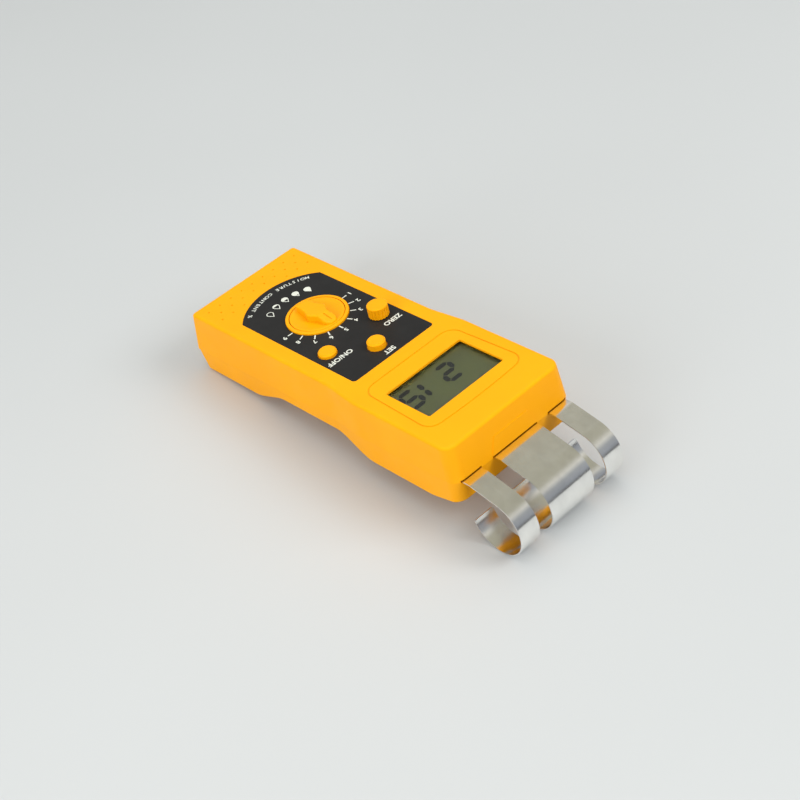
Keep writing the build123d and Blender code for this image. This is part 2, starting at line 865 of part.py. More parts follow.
# Range dial: dished disc with a waisted grip bar, its pointer end engraved
dial_bottom = -dial_well_depth + seat_gap
housing_top = board_top + rotary_height
with BuildPart() as dial_grip:
    side = (
        (-grip_tail, grip_tail_half),
        ((-grip_tail - grip_neck) / 2, grip_waist_half),
        (-grip_lobe_half / 2, (grip_waist_half + grip_lobe_half) / 2),
        (0, grip_lobe_half),
        (grip_neck, grip_neck_half),
        (grip_shoulder, grip_shoulder_half),
        (grip_tip, grip_tip_half),
    )
    grip_foot = dial_rim_height - dial_dish_depth - grip_root
    with BuildSketch(Plane.XY.offset(grip_foot)):
        with BuildLine():
            for flank in (1, -1):
                Spline(*[(dial_x + x, flank * y) for x, y in side])
            Line((dial_x - grip_tail, grip_tail_half), (dial_x - grip_tail, -grip_tail_half))
            Line((dial_x + grip_tip, grip_tip_half), (dial_x + grip_tip, -grip_tip_half))
        make_face()
    extrude(amount=2 * grip_height)
    grip_fall = (grip_height - grip_tip_height) / (grip_tip - grip_neck)
    with BuildSketch(Plane.XZ):
        with BuildLine():
            Polyline(
                (dial_x - dial_radius, grip_foot),
                (dial_x - dial_radius, grip_height),
                (dial_x + grip_neck, grip_height),
                (dial_x + dial_radius, grip_tip_height - grip_fall * (dial_radius - grip_tip)),
                (dial_x + dial_radius, grip_foot),
                close=True,
            )
        make_face()
    extrude(amount=dial_radius, both=True, mode=Mode.INTERSECT)
    fillet(faces().filter_by(lambda face: face.normal_at().Z > facing).edges(), grip_edge_radius)
    with BuildSketch(Plane.XZ):
        with BuildLine():
            groove = [
                (dial_x + x, grip_height - grip_fall * (x - grip_neck) - pointer_groove_depth)
                for x in (pointer_groove_start, pointer_groove_end)
            ]
            Polyline(*groove, (groove[1][0], 2 * grip_height), (groove[0][0], 2 * grip_height), close=True)
        make_face()
    extrude(amount=pointer_groove_width / 2, both=True, mode=Mode.SUBTRACT)
with BuildPart() as dial_knob:
    with Locations((dial_x, 0, dial_bottom)):
        Cylinder(dial_radius, dial_rim_height - dial_bottom, align=(Align.CENTER, Align.CENTER, Align.MIN))
    fillet(edges().group_by(Axis.Z)[-1], dial_edge_radius)
    dish_reach = dial_radius - dial_rim_width
    dish_radius = (dish_reach**2 + dial_dish_depth**2) / (2 * dial_dish_depth)
    with Locations((dial_x, 0, dial_rim_height - dial_dish_depth + dish_radius)):
        Sphere(dish_radius, mode=Mode.SUBTRACT)
    add(dial_grip.part)
    with Locations((dial_x, 0, dial_bottom)):
        Cylinder(
            dial_hub_radius,
            dial_bottom - housing_top - 2 * seat_gap,
            align=(Align.CENTER, Align.CENTER, Align.MAX),
        )
    with BuildSketch(Plane.XY.offset(housing_top)):
        with Locations((dial_x, 0)):
            add(d_profile(rotary_shaft_radius))
    extrude(amount=-housing_top - rotary_shaft_drop, mode=Mode.SUBTRACT)
dial_knob.part.label = "dial_knob"
export_step(RESTING * dial_knob.part, "parts/dial_knob.step")

# Rotary switch: housing on the board, D shaft up into the dial, contact rotor on the shaft
chamber_floor = board_top + rotary_floor
chamber_top = housing_top - rotary_roof
with BuildPart() as rotary_housing:
    with Locations((dial_x, 0, board_top)):
        Box(rotary_size, rotary_size, rotary_height, align=(Align.CENTER, Align.CENTER, Align.MIN))
    fillet(edges().filter_by(Axis.Z), rotary_corner_radius)
    with Locations((dial_x, 0, chamber_floor)):
        Cylinder(
            rotor_radius + 3 * gap,
            chamber_top - chamber_floor,
            align=(Align.CENTER, Align.CENTER, Align.MIN),
            mode=Mode.SUBTRACT,
        )
        Cylinder(
            rotary_shaft_radius + running_gap,
            rotary_height,
            align=(Align.CENTER, Align.CENTER, Align.MIN),
            mode=Mode.SUBTRACT,
        )
rotary_housing.part.label = "rotary_housing"
export_step(RESTING * rotary_housing.part, "parts/rotary_housing.step")

with BuildPart() as rotary_shaft:
    with BuildSketch(Plane.XY.offset(chamber_floor + gap)):
        with Locations((dial_x, 0)):
            add(d_profile(rotary_shaft_radius))
    extrude(amount=-rotary_shaft_drop - chamber_floor - 2 * gap)
rotary_shaft.part.label = "rotary_shaft"
export_step(RESTING * rotary_shaft.part, "parts/rotary_shaft.step")

with BuildPart() as rotary_rotor:
    with BuildSketch(Plane.XY.offset(chamber_floor + 4 * gap)):
        with Locations((dial_x, 0)):
            Circle(rotor_radius)
            add(d_profile(rotary_shaft_radius), mode=Mode.SUBTRACT)
    extrude(amount=rotor_thickness)
rotary_rotor.part.label = "rotary_rotor"
export_step(RESTING * rotary_rotor.part, "parts/rotary_rotor.step")

# Zero potentiometer on the board with its shaft, and the fluted knob on the shaft
knob_bottom = label_top + zero_knob_lift
shaft_top = zero_knob_height - zero_knob_cap
pot_bottom = board_top + pot_floor
with BuildPart() as zero_pot:
    with Locations((zero_x, zero_y, board_top)):
        Box(pot_size, pot_size, pot_height, align=(Align.CENTER, Align.CENTER, Align.MIN))
        Cylinder(
            pot_shaft_radius + pot_bush_wall,
            pot_height + pot_bush_height,
            align=(Align.CENTER, Align.CENTER, Align.MIN),
        )
    with Locations((zero_x, zero_y, pot_bottom)):
        Cylinder(
            pot_shaft_radius + running_gap,
            2 * pot_height,
            align=(Align.CENTER, Align.CENTER, Align.MIN),
            mode=Mode.SUBTRACT,
        )
zero_pot.part.label = "zero_pot"
export_step(RESTING * zero_pot.part, "parts/zero_pot.step")

with BuildPart() as zero_shaft:
    with Locations((zero_x, zero_y, pot_bottom + gap)):
        Cylinder(
            pot_shaft_radius,
            shaft_top - pot_bottom - gap,
            align=(Align.CENTER, Align.CENTER, Align.MIN),
        )
zero_shaft.part.label = "zero_shaft"
export_step(RESTING * zero_shaft.part, "parts/zero_shaft.step")

with BuildPart() as zero_knob:
    with Locations((zero_x, zero_y, knob_bottom)):
        Cylinder(
            zero_knob_radius,
            zero_knob_height - knob_bottom,
            align=(Align.CENTER, Align.CENTER, Align.MIN),
        )
    fillet(edges().group_by(Axis.Z)[-1], zero_knob_edge_radius)
    with BuildSketch(Plane.XY.offset(knob_bottom)):
        with Locations((zero_x, zero_y)):
            with PolarLocations(zero_knob_radius + knurl_radius / 2, knurl_count):
                Circle(knurl_radius)
    extrude(amount=zero_knob_height - knob_bottom - knurl_stop, mode=Mode.SUBTRACT)
    with BuildSketch(Plane.XY.offset(knob_bottom)):
        with Locations((zero_x, zero_y)):
            Circle(pot_shaft_radius)
    extrude(amount=shaft_top - knob_bottom, mode=Mode.SUBTRACT)
zero_knob.part.label = "zero_knob"
export_step(RESTING * zero_knob.part, "parts/zero_knob.step")

# Push buttons, their plungers and their latching switches on the board
button_sets = (
    ("power", power_button_x, power_button_y, button_height - button_latch_drop),
    ("mode", mode_button_x, mode_button_y, button_height),
)
for name, x, y, top in button_sets:
    flange_top = -top_wall - gap - (button_height - top)
    flange_bottom = flange_top - button_flange_thickness
    switch_top = board_top + push_switch_height
    with BuildPart() as button:
        with Locations((x, y, flange_bottom)):
            Cylinder(
                button_flange_radius,
                button_flange_thickness,
                align=(Align.CENTER, Align.CENTER, Align.MIN),
            )
            Cylinder(button_radius, top - flange_bottom, align=(Align.CENTER, Align.CENTER, Align.MIN))
        chamfer(edges().group_by(Axis.Z)[-1], button_bevel)
    button.part.label = f"{name}_button"
    export_step(RESTING * button.part, f"parts/{name}_button.step")
    with BuildPart() as plunger:
        with Locations((x, y, flange_bottom)):
            Cylinder(plunger_radius, plunger_length, align=(Align.CENTER, Align.CENTER, Align.MAX))
    plunger.part.label = f"{name}_plunger"
    export_step(RESTING * plunger.part, f"parts/{name}_plunger.step")
    with BuildPart() as switch:
        with Locations((x, y, board_top)):
            Box(
                push_switch_size,
                push_switch_size,
                push_switch_height,
                align=(Align.CENTER, Align.CENTER, Align.MIN),
            )
        with Locations((x, y, board_top + 2 * gap)):
            Cylinder(
                plunger_radius + running_gap,
                push_switch_height,
                align=(Align.CENTER, Align.CENTER, Align.MIN),
                mode=Mode.SUBTRACT,
            )
    switch.part.label = f"{name}_switch"
    export_step(RESTING * switch.part, f"parts/{name}_switch.step")

# Battery block lying across the foot, its snap connector and the two leads to the board
battery_middle = Plane(
    origin=(battery_mid_x, terminal_side, battery_mid_z), x_dir=(1, 0, 0), z_dir=(0, 1, 0)
)
with BuildPart() as battery:
    with Locations((battery_x, battery_side, battery_bottom)):
        Box(battery_width, battery_length, battery_height, align=(Align.MIN, Align.MIN, Align.MIN))
    fillet(edges().filter_by(Axis.Y), battery_edge_radius)
    with BuildSketch(battery_middle):
        with GridLocations(terminal_spacing, 1, 2, 1):
            Circle(terminal_radius)
    extrude(amount=terminal_height)
battery.part.label = "battery"
export_step(RESTING * battery.part, "parts/battery.step")

with BuildPart() as battery_snap:
    with BuildSketch(battery_middle):
        RectangleRounded(snap_length, snap_depth, snap_corner_radius)
        with GridLocations(terminal_spacing, 1, 2, 1):
            Circle(terminal_radius + gap, mode=Mode.SUBTRACT)
    extrude(amount=snap_thickness)
    with BuildSketch(battery_middle.offset(terminal_height + gap)):
        Rectangle(snap_length - 2 * snap_lip, snap_depth - 2 * snap_lip)
    extrude(amount=snap_thickness - terminal_height - gap)
battery_snap.part.label = "battery_snap"
export_step(RESTING * battery_snap.part, "parts/battery_snap.step")

lead_start = battery_mid_x + snap_length / 2
lead_y = terminal_side + snap_thickness / 2
with BuildPart() as battery_leads:
    for lead in (0, 1):
        lead_z = battery_mid_z + snap_depth / 2 - lead_edge - lead_pitch * lead
        lead_end_y = board_half_handle - lead_board_edge - lead_board_pitch * lead
        with BuildLine() as lead_route:
            FilletPolyline(
                (lead_start, lead_y, lead_z),
                (lead_start + lead_exit, lead_y, lead_z),
                (board_start + lead_board_margin, lead_end_y, lead_z),
                (board_start + lead_board_margin, lead_end_y, board_bottom),
                radius=lead_bend_radius,
            )
        with BuildSketch(Plane(origin=(lead_start, lead_y, lead_z), z_dir=(1, 0, 0))):
            Circle(lead_radius)
        sweep(path=lead_route.wires()[0])
battery_leads.part.label = "battery_leads"
export_step(RESTING * battery_leads.part, "parts/battery_leads.step")

# Electrodes: one curled leaf on each side and a wider one between, springing at the clamp edge
leaf_names = ("electrode_right", "electrode_centre", "electrode_left")
for name, (y, half_width) in zip(leaf_names, leaf_spans):
    with BuildPart() as leaf:
        with BuildSketch(Plane.XZ.offset(-y)):
            add(leaf_section())
        extrude(amount=half_width, both=True)
        tip_x = curl_x + curl_radius * cos(radians(curl_tip_angle))
        tip_z = -curl_centre_drop + curl_radius * sin(radians(curl_tip_angle))
        tip = edges().filter_by(lambda e: e.length < 2 * leaf_thickness)
        tip = tip.filter_by_position(Axis.X, tip_x - tip_search, tip_x + tip_search)
        fillet(tip.filter_by_position(Axis.Z, tip_z - tip_search, tip_z + tip_search), leaf_tip_radius)
    leaf.part.label = name
    export_step(RESTING * leaf.part, f"parts/{name}.step")

# Clamped ends of the three leaves, drilled for the clamp screws
with BuildPart() as electrode_tangs:
    with BuildSketch(Plane.XY.offset(base_top)):
        for y, half_width in leaf_spans:
            with Locations((clamp_edge_x, y)):
                Rectangle(tang_length, 2 * half_width, align=(Align.MAX, Align.CENTER))
        with Locations(*clamp_screw_places):
            Circle(clamp_screw_radius + gap, mode=Mode.SUBTRACT)
    extrude(amount=leaf_thickness)
electrode_tangs.part.label = "electrode_tangs"
export_step(RESTING * electrode_tangs.part, "parts/electrode_tangs.step")

# Insulating base under the tangs, clamp bar on top of them and the screws through both
with BuildPart() as electrode_base:
    with BuildSketch(Plane.XY.offset(base_top - base_thickness)):
        with Locations((clamp_edge_x, 0)):
            Rectangle(base_length, 2 * outer_leaf_outer, align=(Align.MAX, Align.CENTER))
        with Locations(*clamp_screw_places):
            Circle(clamp_screw_radius + gap, mode=Mode.SUBTRACT)
    extrude(amount=base_thickness)
electrode_base.part.label = "electrode_base"
export_step(RESTING * electrode_base.part, "parts/electrode_base.step")

with BuildPart() as electrode_clamp:
    with BuildSketch(Plane.XY.offset(clamp_bottom)):
        with Locations((clamp_edge_x, 0)):
            Rectangle(clamp_length, 2 * outer_leaf_outer, align=(Align.MAX, Align.CENTER))
        with Locations(*clamp_screw_places):
            Circle(clamp_screw_radius + gap, mode=Mode.SUBTRACT)
    extrude(amount=clamp_thickness)
electrode_clamp.part.label = "electrode_clamp"
export_step(RESTING * electrode_clamp.part, "parts/electrode_clamp.step")

with BuildPart() as clamp_screws:
    with Locations(*[(x, y, clamp_bottom + clamp_thickness) for x, y in clamp_screw_places]):
        Cylinder(
            clamp_screw_head_radius,
            clamp_screw_head_height,
            align=(Align.CENTER, Align.CENTER, Align.MIN),
        )
        Cylinder(clamp_screw_radius, clamp_screw_length, align=(Align.CENTER, Align.CENTER, Align.MAX))
clamp_screws.part.label = "clamp_screws"
export_step(RESTING * clamp_screws.part, "parts/clamp_screws.step")

# Pins that carry each electrode's signal up to the board
pin_x = clamp_edge_x - tang_length + pin_end_margin
pin_y = board_half_head - pin_side_margin
with BuildPart() as contact_pins:
    with Locations(*[(pin_x, y, clamp_bottom) for y in (-pin_y, 0, pin_y)]):
        Cylinder(pin_radius, board_bottom - clamp_bottom, align=(Align.CENTER, Align.CENTER, Align.MIN))
contact_pins.part.label = "contact_pins"
export_step(RESTING * contact_pins.part, "parts/contact_pins.step")

# Case screws, up from under the rear case into the front case bosses
with BuildPart() as case_screws:
    with Locations(*[(x, y, -body_depth + screw_seat_rise) for x, y in case_screw_places]):
        Cylinder(screw_head_radius, screw_head_height, align=(Align.CENTER, Align.CENTER, Align.MAX))
        Cylinder(screw_radius, screw_length, align=(Align.CENTER, Align.CENTER, Align.MIN))
    slot_z = -body_depth + screw_seat_rise - screw_head_height
    with Locations(*[(x, y, slot_z) for x, y in case_screw_places]):
        Box(cross_slot_length, cross_slot_width, 2 * cross_slot_depth, mode=Mode.SUBTRACT)
        Box(cross_slot_width, cross_slot_length, 2 * cross_slot_depth, mode=Mode.SUBTRACT)
case_screws.part.label = "case_screws"
export_step(RESTING * case_screws.part, "parts/case_screws.step")
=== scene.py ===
"""Looks of a grain moisture meter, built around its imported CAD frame."""

import json
from math import cos, pi, radians, sin

import bpy
import bmesh
from mathutils import Matrix, Vector


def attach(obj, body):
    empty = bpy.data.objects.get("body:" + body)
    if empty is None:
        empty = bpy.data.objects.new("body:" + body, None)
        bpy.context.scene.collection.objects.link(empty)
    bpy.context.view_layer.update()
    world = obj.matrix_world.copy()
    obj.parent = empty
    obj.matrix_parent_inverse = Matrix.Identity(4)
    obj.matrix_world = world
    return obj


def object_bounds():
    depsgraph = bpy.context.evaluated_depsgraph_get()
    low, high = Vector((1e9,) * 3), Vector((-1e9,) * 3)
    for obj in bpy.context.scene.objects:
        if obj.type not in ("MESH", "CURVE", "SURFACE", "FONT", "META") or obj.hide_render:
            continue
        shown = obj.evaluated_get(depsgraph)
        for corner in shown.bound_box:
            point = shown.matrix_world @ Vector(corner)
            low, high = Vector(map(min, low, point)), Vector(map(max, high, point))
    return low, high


bl_info = {
    "name": "Grain Moisture Meter",
    "version": (1, 0, 0),
    "blender": (4, 5, 0),
    "location": "View3D > Sidebar > Meter",
    "description": "Finishes, printing, display and studio for a handheld grain moisture meter",
    "category": "Object",
}

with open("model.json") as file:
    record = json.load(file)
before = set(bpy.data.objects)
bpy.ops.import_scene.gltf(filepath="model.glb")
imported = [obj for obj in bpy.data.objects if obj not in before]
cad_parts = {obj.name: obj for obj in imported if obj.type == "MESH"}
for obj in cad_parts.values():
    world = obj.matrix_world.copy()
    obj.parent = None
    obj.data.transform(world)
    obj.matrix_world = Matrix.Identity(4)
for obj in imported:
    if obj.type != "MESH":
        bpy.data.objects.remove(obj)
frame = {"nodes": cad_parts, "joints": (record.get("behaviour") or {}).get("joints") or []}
CAD_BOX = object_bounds()
JOINTS = {joint["name"]: joint for joint in frame["joints"]}
MM = 0.001

# The face of the meter: ahead to the nose, left across it, up out of it, from the dial's centre
AHEAD = -Vector(JOINTS["battery_door_slide"]["axis"])
UP = Vector(JOINTS["dial_turn"]["axis"])
LEFT = UP.cross(AHEAD)
DIAL = Vector(JOINTS["dial_turn"]["pos_m"])
FACE = Matrix.Translation(DIAL) @ Matrix((AHEAD, LEFT, UP)).transposed().to_4x4()
READING = Matrix.Rotation(-pi / 2, 4, "Z")

# Printing: the bold edge added to letters, the words beside the controls, and the title
INK_THICKNESS = 0.02 * MM
NUMERAL_WEIGHT = 0.07 * MM
WORD_WEIGHT = 0.09 * MM
TITLE_WEIGHT = 0.04 * MM
CONTROL_WORDS = (
    ("ZERO", 29.2 * MM, 14.6 * MM),
    ("ON/OFF", 29.5 * MM, -13.9 * MM),
    ("SET", 42.8 * MM, 0.3 * MM),
)
TITLE = "MOISTURE CONTENT %"
TITLE_RADIUS = 29.3 * MM
TITLE_PITCH = 1.95 * MM
TITLE_SIZE = 2.5 * MM

# Droplets that fill up along the row: outline and opening, each a belly radius and a point's reach
DROPLET_COUNT = 5
DROPLET_ROW_RADIUS = 20.9 * MM
DROPLET_ROW_STEP = radians(14.5)
DROPLET_OUTSIDE = (1.55 * MM, 2.9 * MM)
DROPLET_INSIDE = (1.2 * MM, 2.25 * MM)
DROPLET_SHOULDER = 50
DROPLET_BELLY_STEP = 20
FIRST_LEVEL = -1.2 * MM
LEVEL_STEP = 0.85 * MM

# Display digits: the bars lit for each figure, and their proportions to the digit's height
SEGMENTS = {"1": "bc", "2": "abged", "5": "afgcd"}
READING_SETBACK = 3.3 * MM
DIGIT_HALF_WIDTH = 0.265
BAR_HALF_WIDTH = 0.088
BAR_GAP = 0.2
DIGIT_LEAN = 0.13

# Studio: floor, camera, soft lights and the brightness of the room from its floor line to overhead
FLOOR_REACH = 2.5
FLOOR_DROP = 0.02 * MM
FLOOR_COLOUR = (0.555, 0.575, 0.585)
CAMERA_LENS = 74.84
CAMERA_SENSOR = 36
CAMERA_NEAR = 0.01
CAMERA_AZIMUTH = radians(53.236)
CAMERA_ELEVATION = radians(41.069)
CAMERA_ROLL = radians(-10.912)
CAMERA_AIM = Vector((0.00986, -0.00629, 0.020))
CAMERA_DISTANCE = 0.63999
WARM_WHITE = (1.0, 0.99, 0.98)
LIGHTS = (
    ("key", (1.0, 0.6, 1.0), 0.8, 12.5, WARM_WHITE),
    ("fill", (0.1, -1.2, 0.5), 0.9, 10.0, WARM_WHITE),
    ("overhead", (-0.2, 0.0, 1.5), 2.0, 11.0, (1.0, 1.0, 1.0)),
)
ROOM_LOWEST = (0.08, 0.08, 0.08, 1)
ROOM_OVERHEAD = (2.0, 2.05, 2.1, 1)
ROOM_BANDS = (
    (0.05, (0.06, 0.06, 0.06, 1)),
    (0.09, (0.20, 0.21, 0.23, 1)),
    (0.18, (0.29, 0.31, 0.35, 1)),
    (0.48, (0.34, 0.36, 0.38, 1)),
    (0.66, (0.68, 0.67, 0.62, 1)),
    (0.80, (0.40, 0.39, 0.32, 1)),
    (0.95, (0.38, 0.37, 0.29, 1)),
)


class MeterFinishes(bpy.types.PropertyGroup):
    """Colours and roughness of the meter's materials."""

    case_colour: bpy.props.FloatVectorProperty(
        name="Case colour",
        description="Colour of the moulded case, dial, knob and buttons",
        subtype="COLOR",
        size=3,
        min=0,
        max=1,
        default=(1.0, 0.41, 0.002),
    )
    case_roughness: bpy.props.FloatProperty(
        name="Case roughness",
        description="How matt the moulded plastic is",
        subtype="FACTOR",
        min=0,
        max=1,
        default=0.42,
    )
    label_colour: bpy.props.FloatVectorProperty(
        name="Label colour",
        description="Colour of the label film",
        subtype="COLOR",
        size=3,
        min=0,
        max=1,
        default=(0.020, 0.0195, 0.019),
    )
    ink_colour: bpy.props.FloatVectorProperty(
        name="Ink colour",
        description="Colour of the printed scale and words",
        subtype="COLOR",
        size=3,
        min=0,
        max=1,
        default=(0.78, 0.80, 0.72),
    )
    display_colour: bpy.props.FloatVectorProperty(
        name="Display colour",
        description="Colour of the display where no segment shows",
        subtype="COLOR",
        size=3,
        min=0,
        max=1,
        default=(0.088, 0.099, 0.033),
    )
    steel_colour: bpy.props.FloatVectorProperty(
        name="Steel colour",
        description="Colour of the polished spring steel",
        subtype="COLOR",
        size=3,
        min=0,
        max=1,
        default=(0.93, 0.92, 0.89),
    )
    steel_roughness: bpy.props.FloatProperty(
        name="Steel roughness",
        description="How blurred the reflections in the electrodes are",
        subtype="FACTOR",
        min=0,
        max=1,
        default=0.17,
    )


class MeterPrinting(bpy.types.PropertyGroup):
    """Sizes of what is printed on the label and shown on the display."""

    tick_start: bpy.props.FloatProperty(
        name="Tick start",
        description="Distance of the scale ticks from the dial's centre",
        subtype="DISTANCE",
        unit="LENGTH",
        default=13.4 * MM,
    )
    tick_length: bpy.props.FloatProperty(
        name="Tick length",
        description="Length of each scale tick",
        subtype="DISTANCE",
        unit="LENGTH",
        default=2.5 * MM,
    )
    tick_width: bpy.props.FloatProperty(
        name="Tick width",
        description="Width of each scale tick",
        subtype="DISTANCE",
        unit="LENGTH",
        default=0.55 * MM,
    )
    positions: bpy.props.IntProperty(
        name="Positions", description="Number of positions on the dial scale", default=9, min=2, max=9
    )
    numeral_radius: bpy.props.FloatProperty(
        name="Numeral radius",
        description="Distance of the numerals from the dial's centre",
        subtype="DISTANCE",
        unit="LENGTH",
        default=17.6 * MM,
    )
    numeral_size: bpy.props.FloatProperty(
        name="Numeral size",
        description="Letter size of the scale numerals",
        subtype="DISTANCE",
        unit="LENGTH",
        default=3.0 * MM,
    )
    word_size: bpy.props.FloatProperty(
        name="Word size",
        description="Letter size of the words beside the controls",
        subtype="DISTANCE",
        unit="LENGTH",
        default=3.4 * MM,
    )
    digit_height: bpy.props.FloatProperty(
        name="Digit height",
        description="Height of the display digits",
        subtype="DISTANCE",
        unit="LENGTH",
        default=11.9 * MM,
    )
    digit_pitch: bpy.props.FloatProperty(
        name="Digit pitch",
        description="Distance from one display digit to the next",
        subtype="DISTANCE",
        unit="LENGTH",
        default=9.7 * MM,
    )
    reading: bpy.props.StringProperty(
        name="Reading", description="Digits on the display, blanks as spaces", default=" 215"
    )


# Materials


def new_material(name):
    """A new node material, with its node tree and its Principled shader."""
    material = bpy.data.materials.new(name)
    material.use_nodes = True
    return material, material.node_tree, material.node_tree.nodes["Principled BSDF"]


def object_noise(tree, scale, stretch=(1, 1, 1), detail=3.0, roughness=0.5):
    """Noise in the object's own metres, stretched along an axis if asked."""
    place = tree.nodes.new("ShaderNodeTexCoord")
    mapping = tree.nodes.new("ShaderNodeMapping")
    mapping.inputs["Scale"].default_value = stretch
    noise = tree.nodes.new("ShaderNodeTexNoise")
    noise.inputs["Scale"].default_value = scale
    noise.inputs["Detail"].default_value = detail
    noise.inputs["Roughness"].default_value = roughness
    tree.links.new(place.outputs["Object"], mapping.inputs["Vector"])
    tree.links.new(mapping.outputs["Vector"], noise.inputs["Vector"])
    return noise.outputs["Fac"]


def spread(tree, value, low, high, start=0.3, end=0.7):
    """A value remapped so that its middle run spans low to high."""
    remap = tree.nodes.new("ShaderNodeMapRange")
    remap.inputs["From Min"].default_value = start
    remap.inputs["From Max"].default_value = end
    remap.inputs["To Min"].default_value = low
    remap.inputs["To Max"].default_value = high
    tree.links.new(value, remap.inputs["Value"])
    return remap.outputs["Result"]


def add_bump(tree, shader, heights, distance):
    """Bump on the shader from one or more (height, strength) pairs, one on top of the other."""
    normal = None
    for height, strength in heights:
        bump = tree.nodes.new("ShaderNodeBump")
        bump.inputs["Strength"].default_value = strength
        bump.inputs["Distance"].default_value = distance
        tree.links.new(height, bump.inputs["Height"])
        if normal:
            tree.links.new(normal, bump.inputs["Normal"])
        normal = bump.outputs["Normal"]
    tree.links.new(normal, shader.inputs["Normal"])


def tinted(tree, colour, value, darker, lighter):
    """The colour, a little darker or lighter as a value goes from 0 to 1."""
    ramp = tree.nodes.new("ShaderNodeValToRGB")
    ramp.color_ramp.elements[0].color = (*[channel * darker for channel in colour], 1)
    ramp.color_ramp.elements[1].color = (*[min(1, channel * lighter) for channel in colour], 1)
    ramp.color_ramp.elements[0].position = 0.3
    ramp.color_ramp.elements[1].position = 0.7
    tree.links.new(value, ramp.inputs["Fac"])
    return ramp.outputs["Color"]


def moulded_plastic(name, colour, roughness, grain=0.06, specular=0.16):
    """Injection-moulded plastic with a fine spark texture and slightly uneven gloss."""
    material, tree, shader = new_material(name)
    shader.inputs["IOR"].default_value = 1.49
    shader.inputs["Specular IOR Level"].default_value = specular
    clouds = object_noise(tree, 55, detail=2)
    tree.links.new(tinted(tree, colour, clouds, 0.97, 1.03), shader.inputs["Base Color"])
    smudge = object_noise(tree, 140, detail=5, roughness=0.6)
    tree.links.new(spread(tree, smudge, roughness - 0.04, roughness + 0.05), shader.inputs["Roughness"])
    spark = object_noise(tree, 2600, detail=2)
    flow = object_noise(tree, 90, detail=1)
    add_bump(tree, shader, ((spark, grain), (flow, 0.05)), 0.12 * MM)
    return material


def printed_film(name, colour):
    """Matt polyester label film with a very fine texture."""
    material, tree, shader = new_material(name)
    shader.inputs["IOR"].default_value = 1.5
    shader.inputs["Specular IOR Level"].default_value = 0.2
    cloud = object_noise(tree, 70, detail=3)
    tree.links.new(tinted(tree, colour, cloud, 0.9, 1.12), shader.inputs["Base Color"])
    tree.links.new(spread(tree, object_noise(tree, 220, detail=4), 0.46, 0.58), shader.inputs["Roughness"])
    add_bump(tree, shader, ((object_noise(tree, 5200, detail=1), 0.12),), 0.05 * MM)
    return material


def screen_ink(name, colour):
    """Screen-printed ink, slightly uneven in cover."""
    material, tree, shader = new_material(name)
    patchy = object_noise(tree, 1600, detail=3)
    tree.links.new(tinted(tree, colour, patchy, 0.86, 1.04), shader.inputs["Base Color"])
    shader.inputs["Roughness"].default_value = 0.55
    add_bump(tree, shader, ((patchy, 0.2),), 0.02 * MM)
    return material


def spring_steel(name, colour, roughness):
    """Rolled and polished steel strip, with fine marks along its length."""
    material, tree, shader = new_material(name)
    shader.inputs["Metallic"].default_value = 1.0
    shader.inputs["Anisotropic"].default_value = 0.35
    lines = object_noise(tree, 60, stretch=(1, 90, 1), detail=6, roughness=0.7)
    patches = object_noise(tree, 120, detail=4, roughness=0.6)
    tree.links.new(tinted(tree, colour, patches, 0.9, 1.04), shader.inputs["Base Color"])
    rough = spread(tree, lines, roughness - 0.06, roughness + 0.08)
    tree.links.new(rough, shader.inputs["Roughness"])
    add_bump(tree, shader, ((lines, 0.10), (patches, 0.05)), 0.08 * MM)
    return material


def bare_metal(name, colour, roughness):
    """Plated or turned metal of small hardware."""
    material, tree, shader = new_material(name)
    shader.inputs["Metallic"].default_value = 1.0
    grain = object_noise(tree, 1500, detail=4)
    tree.links.new(tinted(tree, colour, grain, 0.85, 1.1), shader.inputs["Base Color"])
    tree.links.new(spread(tree, grain, roughness - 0.06, roughness + 0.08), shader.inputs["Roughness"])
    add_bump(tree, shader, ((grain, 0.1),), 0.05 * MM)
    return material


def display_film(name, colour):
    """Satin film on the display glass, as it looks where no segment shows."""
    material, tree, shader = new_material(name)
    cloud = object_noise(tree, 60, detail=2)
    tree.links.new(tinted(tree, colour, cloud, 0.93, 1.07), shader.inputs["Base Color"])
    shader.inputs["Roughness"].default_value = 0.4
    add_bump(tree, shader, ((object_noise(tree, 4000, detail=1), 0.05),), 0.02 * MM)
    return material


def window_plastic(name):
    """Clear acrylic pane."""
    material, tree, shader = new_material(name)
    shader.inputs["Base Color"].default_value = (0.96, 0.97, 0.95, 1)
    shader.inputs["Transmission Weight"].default_value = 1.0
    shader.inputs["IOR"].default_value = 1.16
    tree.links.new(spread(tree, object_noise(tree, 300), 0.0, 0.03), shader.inputs["Roughness"])
    return material


def floor_sheet(name, colour):
    """Pale matt sheet with a faint mottling."""
    material, tree, shader = new_material(name)
    cloud = object_noise(tree, 3, detail=2)
    tree.links.new(tinted(tree, colour, cloud, 0.98, 1.02), shader.inputs["Base Color"])
    shader.inputs["Roughness"].default_value = 0.55
    return material


def finish_node(node, material):
    """Give a carried-over node its finish."""
    mesh = frame["nodes"][node].data
    mesh.materials.clear()
    mesh.materials.append(material)


# Printing


def on_face(x, y, height=0.0, turn=0.0):
    """A place on the meter's face, in metres ahead and left of the dial's centre."""
    return FACE @ Matrix.Translation((x, y, height)) @ Matrix.Rotation(turn, 4, "Z")


def flat_shape(shapes, outline, thickness, matrix):
    """Add a flat outline with a thickness to the shapes being gathered."""
    low = [shapes.verts.new(matrix @ Vector((x, y, 0))) for x, y in outline]
    high = [shapes.verts.new(matrix @ Vector((x, y, thickness))) for x, y in outline]
    shapes.faces.new(high)
    shapes.faces.new(low[::-1])
    for i, corner in enumerate(low):
        following = (i + 1) % len(low)
        shapes.faces.new((corner, low[following], high[following], high[i]))


